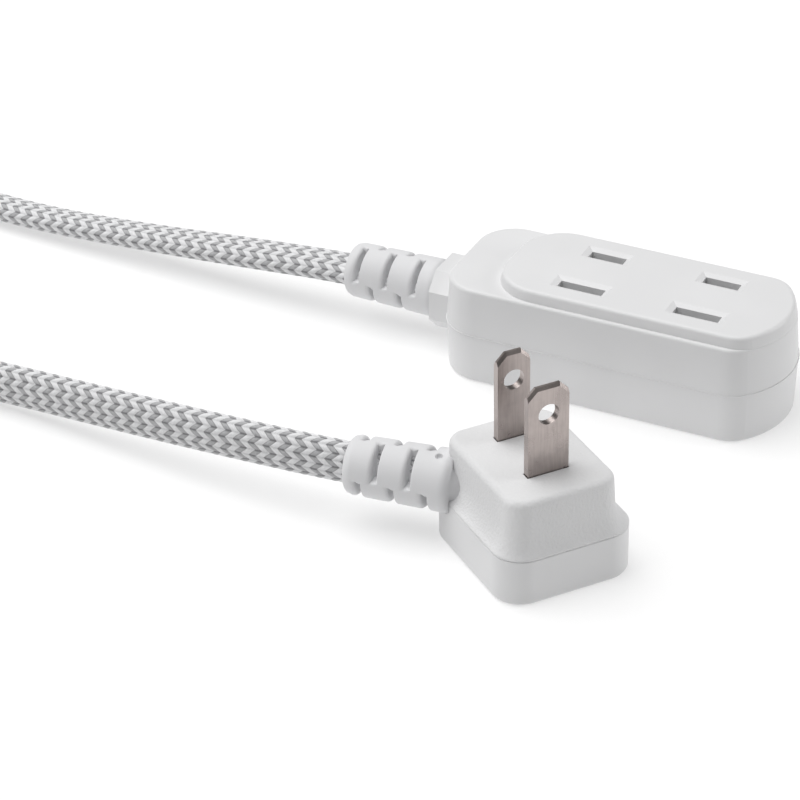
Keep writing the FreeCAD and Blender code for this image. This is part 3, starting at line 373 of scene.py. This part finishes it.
# %% Make one sleeve
def slotted_sleeve(name, root, axis, slot_half, three_angle, bore_turn, seat=0.0, mark_angle=None):
    """root is where the sleeve leaves the housing; angles are from upright towards the near side."""
    axis = Vector(axis).normalized()
    near = UP.cross(axis)
    edges = [row + sign * (slot_half - x) for row in slot_rows for sign in (-1, 1)
             for x in edge_lines]
    if mark_angle is not None:
        edges += list(mark_place + mark_lines)
    lengths = grid_lines(edges, 0.0, sleeve_length - tip_round, 0.5)
    scale = math.degrees(1 / root_radius)
    turns = [(three_angle + 90 * k) % 360 + sign * (slot_half_angle - x * scale)
             for k in range(4) for sign in (-1, 1) for x in edge_lines]
    if mark_angle is not None:
        turns += list(mark_angle + mark_lines * scale)
    angles = grid_lines([t % 360 for t in turns], 0.0, 359.999, 4.0)[:-1]
    s, a = np.meshgrid(lengths, angles, indexing="ij")
    radius = root_radius + (tip_radius - root_radius) * s / (sleeve_length - tip_round)
    outside = radius.copy()
    for index, row in enumerate(slot_rows):
        for half in range(2):
            middle = three_angle + 90 * (index % 2) + 180 * half
            away = np.abs((a - middle + 180) % 360 - 180)
            inside_s = slot_half - np.abs(s - row)
            inside_a = np.radians(slot_half_angle - away) * outside
            inside = np.minimum(inside_s, inside_a)
            lip = sharp_lip + (soft_lip - sharp_lip) * ease((s - row) / slot_half + 0.5)
            radius = np.minimum(radius, outside - slot_depth(inside, outside - slot_floor, lip))
    if mark_angle is not None:
        away = np.hypot(s - mark_place, np.radians((a - mark_angle + 180) % 360 - 180) * outside)
        radius -= mark_depth * ease((mark_radius + 0.12 - away) / 0.3)
    oval_radius = 1 / np.sqrt((np.sin(np.radians(angles) - bore_turn) / bore_wide) ** 2
                              + (np.cos(np.radians(angles) - bore_turn) / bore_thin) ** 2)
    rows = [(s[i], radius[i]) for i in range(len(lengths))]
    flat = tip_radius - tip_round
    for step in np.linspace(0.12, 1, 9):
        ring = tip_radius + (oval_radius - tip_radius) * step
        rise = np.sqrt(np.clip(tip_round ** 2 - np.clip(ring - flat, 0, None) ** 2, 0, None))
        rows.append((sleeve_length - tip_round + rise, ring))
    end_s = rows[-1][0]
    rows += [(end_s - depth, oval_radius) for depth in bore_depths]
    rows.append((end_s - bore_floor, np.full_like(angles, bore_radius)))
    rows += [(np.full_like(angles, place), np.full_like(angles, ring)) for place, ring in
             ((-seat - neck_length, bore_radius), (-seat - neck_length, neck_radius),
              (-seat, neck_radius), (-seat, root_radius - 0.03))]
    spoke = (np.cos(np.radians(angles))[:, None] * np.array(UP)
             + np.sin(np.radians(angles))[:, None] * np.array(near))
    rings = np.array([np.array(root) + (row_s[:, None] * np.array(axis) + row_r[:, None] * spoke) * MM
                      for row_s, row_r in rows])
    piece = ring_mesh(name, rings, loop=True)
    face_outward(piece)
    return piece


bar_sleeve_root = Vector((-45.3, 0.0, 10.5)) * MM
bar_sleeve = slotted_sleeve("bar_relief_sleeve", bar_sleeve_root, (-1, 0, 0), 0.52, 45.0, 0.0,
                            seat=1.7)
plug_away = Vector((-0.99178, -0.12793, 0))
plug_sleeve_root = Vector((-31.475, -64.433, 11.5)) * MM - plug_away * sleeve_length * MM
plug_sleeve = slotted_sleeve("plug_relief_sleeve", plug_sleeve_root, plug_away, 0.6, -45.0,
                             math.pi / 2, seat=1.8, mark_angle=12.0)
print("faces of a sleeve:", len(bar_sleeve.data.polygons), len(plug_sleeve.data.polygons))

# %% [markdown]
# ## The plug's front cover
# The cover stands up from the base as a block with a little draft. At its foot it sweeps out in a
# hollow curve to the outline of the base. The skin is a stack of rounded rectangles.

# %% Outlines of the cover, in the plug's own frame
cover_face = {"left": 10.4, "right": 10.6, "near": 14.1, "far": 12.8, "corner": 3.6}
cover_base = {"left": 12.6, "right": 13.8, "near": 15.7, "far": 14.5, "corner": 5.6}
step_height, flare_top, face_height = 9.3, 14.6, 20.3
cover_draft = math.tan(math.radians(3.0))
face_rounding, lip_height = 1.3, 0.35
arc_share = 0.955
slot_gap, slot_width, slot_cut_height, blade_offset = 0.3, 1.8, 3.0, 6.35
plug_turn = math.radians(52.35)
plug_centre = Vector((1.65, -60.16, 0)) * MM


def rounded_outline(left, right, near, far, corner, per_corner=14):
    """Points anticlockwise round a rounded rectangle."""
    points = []
    for cx, cy, start in ((right - corner, far - corner, 0), (corner - left, far - corner, 90),
                          (corner - left, corner - near, 180), (right - corner, corner - near, 270)):
        for step in range(per_corner + 1):
            turn = math.radians(start + 90 * step / per_corner)
            points.append((cx + corner * math.cos(turn), cy + corner * math.sin(turn)))
    return points


def cover_ring(height, inset=0.0):
    """The outline at one height, drawn in by an inset."""
    spread = (face_height - height) * cover_draft
    sweep = min(1.0, max(0.0, (flare_top - height) / (flare_top - step_height - lip_height)))
    sweep = (1 - math.sqrt(1 - (arc_share * sweep) ** 2)) / (1 - math.sqrt(1 - arc_share ** 2))
    here = {}
    for side_name, at_face in cover_face.items():
        body = at_face + spread
        here[side_name] = body + (cover_base[side_name] - body) * sweep - inset
    here["corner"] = max(here["corner"], 0.4)
    return [(x, y, height) for x, y in rounded_outline(**here)]


# %% Stack the rings and cut the two blade slots
foot_rings = [(1.6, 3.2), (0.02, 2.9), (0.02, 0.16), (0.06, 0.04)]
rings = [cover_ring(step_height + above, inset) for above, inset in foot_rings]
heights = np.concatenate([np.linspace(step_height + 0.14, step_height + 0.4, 3),
                          np.linspace(step_height + 0.75, flare_top, 16),
                          np.linspace(flare_top + 0.7, face_height - face_rounding, 5)])
rings += [cover_ring(height) for height in heights]
for step in range(1, 9):
    turn = math.radians(90 * step / 8)
    rings.append(cover_ring(face_height - face_rounding * (1 - math.sin(turn)),
                            face_rounding * (1 - math.cos(turn))))
rings.append(cover_ring(face_height, face_rounding + 1.2))
front = ring_mesh("plug_front_skin", np.array(rings) * MM)
face_outward(front)
for side_sign, blade_width in ((-1, 7.94), (1, 6.35)):
    slot_place = Vector((0, side_sign * blade_offset, face_height)) * MM
    bpy.ops.mesh.primitive_cube_add(size=1, location=slot_place)
    cutter = bpy.context.object
    cutter.scale = Vector((blade_width + slot_gap, slot_width, slot_cut_height)) * MM
    cut = front.modifiers.new("slot", "BOOLEAN")
    cut.object, cut.operation, cut.solver = cutter, "DIFFERENCE", "EXACT"
    bpy.context.view_layer.update()
    cut_front = front.evaluated_get(bpy.context.evaluated_depsgraph_get())
    cut_mesh = bpy.data.meshes.new_from_object(cut_front)
    front.modifiers.clear()
    front.data = cut_mesh
    bpy.data.objects.remove(cutter)
front.data.transform(Matrix.Translation(plug_centre) @ Matrix.Rotation(plug_turn, 4, "Z"))
front.data.set_sharp_from_angle(angle=math.radians(50))
print("faces of the cover:", len(front.data.polygons))

# %% [markdown]
# ## Shader helpers
# Materials are small trees of nodes. These helpers keep each material readable.


# %% Helpers for nodes
def put(tree, kind, **settings):
    node = tree.nodes.new("ShaderNode" + kind)
    for name, value in settings.items():
        setattr(node, name, value)
    return node


def feed(tree, socket, value):
    """Link a socket, or set its number or colour."""
    if isinstance(value, bpy.types.NodeSocket):
        tree.links.new(value, socket)
    else:
        socket.default_value = value


def calc(tree, operation, *values, clamp=False):
    node = put(tree, "Math", operation=operation, use_clamp=clamp)
    for socket, value in zip(node.inputs, values):
        feed(tree, socket, value)
    return node.outputs[0]


def blend_colour(tree, share, first, second):
    node = put(tree, "Mix", data_type="RGBA")
    feed(tree, node.inputs["Factor"], share)
    feed(tree, node.inputs[6], first)
    feed(tree, node.inputs[7], second)
    return node.outputs[2]


def noise(tree, where, scale, detail=2.0, roughness=0.5):
    node = put(tree, "TexNoise")
    feed(tree, node.inputs["Vector"], where)
    node.inputs["Scale"].default_value = scale
    node.inputs["Detail"].default_value = detail
    node.inputs["Roughness"].default_value = roughness
    return node.outputs["Fac"]


def remap(tree, value, low, high, to_low=0.0, to_high=1.0):
    node = put(tree, "MapRange", interpolation_type="SMOOTHSTEP")
    for socket, number in zip(node.inputs, (value, low, high, to_low, to_high)):
        feed(tree, socket, number)
    return node.outputs["Result"]


def new_group(name, inputs, outputs):
    """A node group with float inputs {name: value} and outputs (name, socket type)."""
    group = bpy.data.node_groups.new(name, "ShaderNodeTree")
    for label, value in inputs.items():
        socket = group.interface.new_socket(label, in_out="INPUT", socket_type="NodeSocketFloat")
        socket.default_value = value
    for label, kind in outputs:
        group.interface.new_socket(label, in_out="OUTPUT", socket_type=kind)
    return group, group.nodes.new("NodeGroupInput"), group.nodes.new("NodeGroupOutput")


def new_material(name):
    material = bpy.data.materials.new(name)
    material.use_nodes = True
    tree = material.node_tree
    return material, tree, tree.nodes["Principled BSDF"]


def use_group(tree, group, **values):
    node = put(tree, "Group")
    node.node_tree = group
    for name, value in values.items():
        feed(tree, node.inputs[name.replace("_", " ")], value)
    return node


def add_bump(tree, shader, height, strength, distance):
    node = put(tree, "Bump")
    node.inputs["Strength"].default_value = strength
    node.inputs["Distance"].default_value = distance
    feed(tree, node.inputs["Height"], height)
    tree.links.new(node.outputs["Normal"], shader.inputs["Normal"])


# %% [markdown]
# ## Moulded grain
# Every plastic and rubber part comes from a steel mould. The mould's surface prints a fine grain
# on the part, and the melt leaves faint clouds of tone. One group makes both, and each material
# sets how coarse and how strong they are.

# %% Moulded grain group
grain_group, grain_in, grain_out = new_group(
    "moulded grain", {"Grain Scale": 2600.0, "Cloud Scale": 60.0},
    [("Grain", "NodeSocketFloat"), ("Clouds", "NodeSocketFloat")])
where = put(grain_group, "TexCoord").outputs["Object"]
grain_noise = put(grain_group, "TexNoise")
grain_noise.inputs["Detail"].default_value = 3.0
cloud_noise = put(grain_group, "TexNoise")
cloud_noise.inputs["Detail"].default_value = 2.0
for node, label in ((grain_noise, "Grain Scale"), (cloud_noise, "Cloud Scale")):
    feed(grain_group, node.inputs["Vector"], where)
    feed(grain_group, node.inputs["Scale"], grain_in.outputs[label])
feed(grain_group, grain_out.inputs["Grain"], grain_noise.outputs["Fac"])
feed(grain_group, grain_out.inputs["Clouds"], cloud_noise.outputs["Fac"])


# %% A moulded finish
def moulded(name, colour, roughness, grain=2600.0, depth=0.02, strength=0.25, shade=0.03, sheen=0.0):
    material, tree, shader = new_material(name)
    surface = use_group(tree, grain_group, Grain_Scale=grain)
    dark = tuple(c * (1 - shade) for c in colour[:3]) + (1,)
    clouds = remap(tree, surface.outputs["Clouds"], 0.3, 0.7)
    tone = blend_colour(tree, clouds, dark, (*colour[:3], 1))
    feed(tree, shader.inputs["Base Color"], tone)
    gloss = remap(tree, surface.outputs["Grain"], 0.25, 0.75, roughness - 0.05, roughness + 0.05)
    feed(tree, shader.inputs["Roughness"], gloss)
    shader.inputs["Specular IOR Level"].default_value = 0.4
    shader.inputs["Sheen Weight"].default_value = sheen
    add_bump(tree, shader, surface.outputs["Grain"], strength, depth * MM)
    return material


white_plastic = moulded("white_plastic", (0.74, 0.74, 0.745), 0.42)
face_plastic = moulded("face_plastic", (0.74, 0.74, 0.745), 0.38)
textured_plastic = moulded("textured_plastic", (0.72, 0.72, 0.725), 0.62, grain=1900.0, depth=0.16,
                           strength=0.8)
carrier_plastic = moulded("carrier_plastic", (0.62, 0.62, 0.60), 0.5)
shutter_plastic = moulded("shutter_plastic", (0.70, 0.70, 0.70), 0.45)
relief_rubber = moulded("relief_rubber", (0.71, 0.71, 0.72), 0.6, grain=1500.0, depth=0.03,
                        strength=0.3, sheen=0.05)
lead_white = moulded("lead_insulation_white", (0.75, 0.75, 0.73), 0.45)
lead_black = moulded("lead_insulation_black", (0.03, 0.03, 0.03), 0.45)
print("moulded finishes:", 8)

# %% [markdown]
# ## Sheet metal
# Blades and contacts are stamped from strip that was rolled between steel rolls, so they carry
# fine lines along the strip. Nickel plating is warm grey, brass is yellow.


# %% A rolled metal finish
roll_stretch = (1, 1, 0.06)


def rolled_metal(name, colour, roughness, shade=0.12):
    material, tree, shader = new_material(name)
    place = put(tree, "TexCoord").outputs["Object"]
    mapping = put(tree, "Mapping")
    mapping.inputs["Scale"].default_value = roll_stretch
    feed(tree, mapping.inputs["Vector"], place)
    lines = noise(tree, mapping.outputs["Vector"], 3200.0, 4.0, 0.6)
    stains = noise(tree, place, 260.0, 3.0)
    dark = tuple(c * (1 - shade) for c in colour) + (1,)
    share = calc(tree, "MULTIPLY_ADD", lines, 0.4, calc(tree, "MULTIPLY", stains, 0.6))
    tone = blend_colour(tree, remap(tree, share, 0.35, 0.62), dark, (*colour, 1))
    feed(tree, shader.inputs["Base Color"], tone)
    shader.inputs["Metallic"].default_value = 1.0
    gloss = remap(tree, stains, 0.3, 0.7, roughness, roughness + 0.12)
    feed(tree, shader.inputs["Roughness"], gloss)
    add_bump(tree, shader, lines, 0.25, 0.01 * MM)
    return material


blade_nickel = rolled_metal("blade_nickel", (0.47, 0.415, 0.395), 0.26, shade=0.2)
contact_brass = rolled_metal("contact_brass", (0.72, 0.52, 0.25), 0.3)
spring_steel = rolled_metal("spring_steel", (0.5, 0.5, 0.5), 0.25)

# %% [markdown]
# ## Braid pattern
# The lead's UV map counts columns of stitches round it and periods of the zigzag along it.
# From those two numbers the group finds which yarn a point belongs to, how high the stitch is there,
# where shade is painted into the crevices, and the fine threads that each yarn is made of.

# %% Braid pattern group
braid_group, _, braid_out = new_group(
    "braid pattern", {},
    [("White Yarn", "NodeSocketFloat"), ("Height", "NodeSocketFloat"), ("Painted Shade", "NodeSocketFloat"),
     ("Threads", "NodeSocketFloat")])
split = put(braid_group, "SeparateXYZ")
weave_map = put(braid_group, "UVMap", uv_map="weave")
feed(braid_group, split.inputs[0], weave_map.outputs[0])
across_lead, along_lead = split.outputs[0], split.outputs[1]
lean = calc(braid_group, "ABSOLUTE",
            calc(braid_group, "SUBTRACT", calc(braid_group, "MODULO", across_lead, 2.0), 1.0))
phase = calc(braid_group, "SUBTRACT", along_lead, calc(braid_group, "MULTIPLY", lean, 0.5))
turn_of_yarn = calc(braid_group, "FRACT", phase)
white_yarn = calc(braid_group, "LESS_THAN", turn_of_yarn, WHITE_SHARE)
in_white = calc(braid_group, "DIVIDE", turn_of_yarn, WHITE_SHARE)
past_white = calc(braid_group, "SUBTRACT", turn_of_yarn, WHITE_SHARE)
in_grey = calc(braid_group, "DIVIDE", past_white, 1 - WHITE_SHARE)
in_stitch = calc(braid_group, "MULTIPLY_ADD", white_yarn,
                 calc(braid_group, "SUBTRACT", in_white, in_grey), in_grey)
from_middle = calc(braid_group, "ABSOLUTE", calc(braid_group, "MULTIPLY_ADD", in_stitch, 2.0, -1.0))
from_centre = calc(braid_group, "ABSOLUTE",
                   calc(braid_group, "MULTIPLY_ADD", calc(braid_group, "FRACT", across_lead), 2.0, -1.0))
yarn_height = calc(braid_group, "SQRT", calc(
    braid_group, "SUBTRACT", 1.0, calc(braid_group, "POWER", from_middle, 2.2), clamp=True))
dive_height = calc(braid_group, "SUBTRACT", 1.0, calc(braid_group, "POWER", from_centre, 3.0),
                   clamp=True)
stitch = calc(braid_group, "MULTIPLY", yarn_height,
              calc(braid_group, "MULTIPLY_ADD", dive_height, 0.65, 0.35))

# %% Threads of the braid, and painted shade in its crevices
thread_place = put(braid_group, "CombineXYZ")
feed(braid_group, thread_place.inputs[0], calc(braid_group, "MULTIPLY", phase, 34.0))
feed(braid_group, thread_place.inputs[1], calc(braid_group, "MULTIPLY", across_lead, 2.6))
threads = noise(braid_group, thread_place.outputs[0], 1.0, 2.0, 0.6)
# Painted shade: a mask for darkening the crevices where each stitch dives under and between the columns,
# weaker on white yarn.
painted_stitch_end_shade = remap(braid_group, from_middle, 0.80, 1.0)
vertex = calc(braid_group, "MULTIPLY_ADD", white_yarn, -0.75, 1.0)
painted_column_edge_shade = calc(braid_group, "MULTIPLY", remap(braid_group, from_centre, 0.45, 1.0), vertex)
gap = calc(braid_group, "MAXIMUM", calc(braid_group, "MULTIPLY", painted_stitch_end_shade, 0.8), painted_column_edge_shade)
for label, value in (("White Yarn", white_yarn), ("Height", stitch), ("Painted Shade", gap),
                     ("Threads", threads)):
    feed(braid_group, braid_out.inputs[label], value)

# %% Braid finish
braid, tree, shader = new_material("braid")
weave = use_group(tree, braid_group)
threads_tone = remap(tree, weave.outputs["Threads"], 0.25, 0.75)
white_tone = blend_colour(tree, threads_tone, (0.66, 0.66, 0.67, 1), (0.88, 0.88, 0.89, 1))
grey_tone = blend_colour(tree, threads_tone, (0.34, 0.34, 0.35, 1), (0.56, 0.56, 0.57, 1))
yarn_tone = blend_colour(tree, weave.outputs["White Yarn"], grey_tone, white_tone)
# Painted shade: the braid's colour is mixed towards near black in its crevices.
painted_shade_share = calc(tree, "MULTIPLY", weave.outputs["Painted Shade"], 0.72)
painted_shade_tone = (0.09, 0.09, 0.095, 1)
feed(tree, shader.inputs["Base Color"], blend_colour(tree, painted_shade_share, yarn_tone, painted_shade_tone))
shader.inputs["Roughness"].default_value = 0.78
shader.inputs["Sheen Weight"].default_value = 0.25
shader.inputs["Specular IOR Level"].default_value = 0.25
lumps = calc(tree, "MULTIPLY_ADD", weave.outputs["Threads"], 0.22, weave.outputs["Height"])
add_bump(tree, shader, lumps, 0.7, 0.16 * MM)

# %% [markdown]
# ## The tie
# A short strap holds the coil. It is a narrow woven band that goes once round the bundle, made as
# a closed loop without an overlap.


# %% Strap round the coil
def strap_path():
    """Closed outline of the strap's middle line in the plane of radius and height."""
    left, right, low, high, corner = 32.3, 55.9, 0.45, 16.95, 3.2
    points = []
    for cx, cz, start in ((right - corner, low + corner, -90), (right - corner, high - corner, 0),
                          (left + corner, high - corner, 90), (left + corner, low + corner, 180)):
        for step in range(9):
            turn = math.radians(start + step * 90 / 8)
            points.append((cx + corner * math.cos(turn), cz + corner * math.sin(turn)))
    return np.array(points)


outline = strap_path()
behind, ahead = np.roll(outline, 1, axis=0), np.roll(outline, -1, axis=0)
strap_way = (ahead - behind) / np.linalg.norm(ahead - behind, axis=1, keepdims=True)
strap_out = np.stack([strap_way[:, 1], -strap_way[:, 0]], axis=1)
half_width, half_gauge = 3.4, 0.4
corner_cut = half_width - 0.3
band = [(-half_width, -half_gauge / 2), (-corner_cut, -half_gauge), (corner_cut, -half_gauge),
        (half_width, -half_gauge / 2), (half_width, half_gauge / 2), (corner_cut, half_gauge),
        (-corner_cut, half_gauge), (-half_width, half_gauge / 2)]


def strap_point(at, out, width, gauge):
    """A point of the strap, from its place on the outline and in its cross-section."""
    radius, height = at + out * gauge
    return coil_centre + Vector((-radius, width, height)) * MM


strap_rings = np.array([[strap_point(at, out, width, gauge) for width, gauge in band]
                        for at, out in zip(outline, strap_out)])
strap = ring_mesh("coil_strap", strap_rings, loop=True)
face_outward(strap)
print("strap width", 2 * half_width, "mm")

# %% Strap finish
tie_strap, tree, shader = new_material("tie_strap")
place = put(tree, "TexCoord").outputs["Object"]
ribs = put(tree, "TexWave", wave_type="BANDS", bands_direction="Y")
feed(tree, ribs.inputs["Vector"], place)
ribs.inputs["Scale"].default_value = 330.0
fuzz = noise(tree, place, 3000.0, 3.0)
weave_mix = calc(tree, "MULTIPLY_ADD", ribs.outputs["Fac"], 0.6, calc(tree, "MULTIPLY", fuzz, 0.4))
feed(tree, shader.inputs["Base Color"],
     blend_colour(tree, weave_mix, (0.42, 0.42, 0.43, 1), (0.66, 0.66, 0.67, 1)))
shader.inputs["Roughness"].default_value = 0.8
add_bump(tree, shader, weave_mix, 0.6, 0.08 * MM)

# %% [markdown]
# ## Finishes on the parts
# The rigid parts come from the imported model with their true shape. Each gets the finish that the
# table below gives for its name.

# %% Give each part its finish
finishes = {
    "lower_housing": white_plastic, "upper_housing": white_plastic, "face_plate": face_plastic,
    "contact_carrier": carrier_plastic, "neutral_contact_strip": contact_brass,
    "hot_contact_strip": contact_brass, "shutter_1": shutter_plastic, "shutter_2": shutter_plastic,
    "shutter_spring_1": spring_steel, "shutter_spring_2": spring_steel,
    "plug_back_cover": white_plastic, "plug_front_cover": textured_plastic,
    "blade_carrier": carrier_plastic, "neutral_blade": blade_nickel, "hot_blade": blade_nickel,
    "bar_neutral_lead": lead_white, "bar_hot_lead": lead_black, "plug_neutral_lead": lead_white,
    "plug_hot_lead": lead_black, "bar_strain_relief": relief_rubber,
    "plug_strain_relief": relief_rubber, "cord_bar_side": braid, "cord_plug_side": braid,
    "cord_coil": braid, "coil_tie": tie_strap,
}
for name, finish in finishes.items():
    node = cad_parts[name]
    node.data.materials.clear()
    node.data.materials.append(finish)
print("parts with a finish:", len(finishes), "of", len(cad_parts))
for piece, finish in ((lead, braid), (bar_sleeve, relief_rubber), (plug_sleeve, relief_rubber),
                      (strap, tie_strap), (front, textured_plastic)):
    piece.data.materials.clear()
    piece.data.materials.append(finish)

# %% [markdown]
# ## What each made piece stands for
# The lead replaces the plain tubes and the ring of the imported model, and the sleeves and the
# strap replace their plain counterparts. All of them ride on the cord set.

# %% Ride and replace
for piece in (lead, bar_sleeve, plug_sleeve, strap, front):
    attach(piece, ROOT)
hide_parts("cord_bar_side", "cord_coil", "cord_plug_side")
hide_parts("bar_strain_relief")
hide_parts("plug_strain_relief")
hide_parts("coil_tie")
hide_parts("plug_front_cover")

# %% [markdown]
# ## The shutters' leaf springs
# Under each outlet a bowed strip of spring steel pushes the shutter closed. It flattens against
# the wall of the housing as the shutter opens. A rigid copy would run through the shutter, yet
# each spring here is a rigid copy of its imported part, with a mesh of its own, on the cord set.

# %% Rigid copies of the springs
for number in (1, 2):
    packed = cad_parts[f"shutter_spring_{number}"]
    leaf_mesh = packed.data.copy()
    leaf_mesh.transform(packed.matrix_world)
    leaf = bpy.data.objects.new(f"leaf_spring_{number}", leaf_mesh)
    scene.collection.objects.link(leaf)
    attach(leaf, ROOT)
    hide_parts(packed.name)
    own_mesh(leaf)
print("leaf springs: 2")

# %% [markdown]
# ## Floor and light
# A white floor that glows a little, and two large soft lights: one high on the left, one weak on
# the right. The near sides stay a shade darker than the tops, which shows the shape of the white
# plastic.

# %% Floor
floor_mesh = bpy.data.meshes.new("floor")
floor_mesh.from_pydata([(-3, -3, 0), (3, -3, 0), (3, 3, 0), (-3, 3, 0)], [], [(0, 1, 2, 3)])
floor = bpy.data.objects.new("floor", floor_mesh)
scene.collection.objects.link(floor)
floor_finish, tree, shader = new_material("floor")
shader.inputs["Base Color"].default_value = (0.5, 0.5, 0.5, 1)
shader.inputs["Roughness"].default_value = 1.0
shader.inputs["Specular IOR Level"].default_value = 0.0
shader.inputs["Emission Color"].default_value = (1, 1, 1, 1)
shader.inputs["Emission Strength"].default_value = 0.5
floor_mesh.materials.append(floor_finish)

# %% Lights
world = bpy.data.worlds.new("studio")
world.use_nodes = True
world.node_tree.nodes["Background"].inputs["Color"].default_value = (1, 1, 1, 1)
world.node_tree.nodes["Background"].inputs["Strength"].default_value = 0.13
scene.world = world


light_aim = Vector((-0.03, -0.03, 0))


def soft_light(name, place, size, power):
    data = bpy.data.lights.new(name, "AREA")
    data.shape = "DISK"
    data.size = size
    data.energy = power
    lamp = bpy.data.objects.new(name, data)
    lamp.location = place
    lamp.rotation_euler = (light_aim - Vector(place)).to_track_quat("-Z", "Y").to_euler()
    scene.collection.objects.link(lamp)
    return lamp


soft_light("key_above", (-0.56, -0.12, 1.35), 1.9, 29.0)
soft_light("fill_right", (1.15, 0.7, 0.45), 0.8, 6.6)
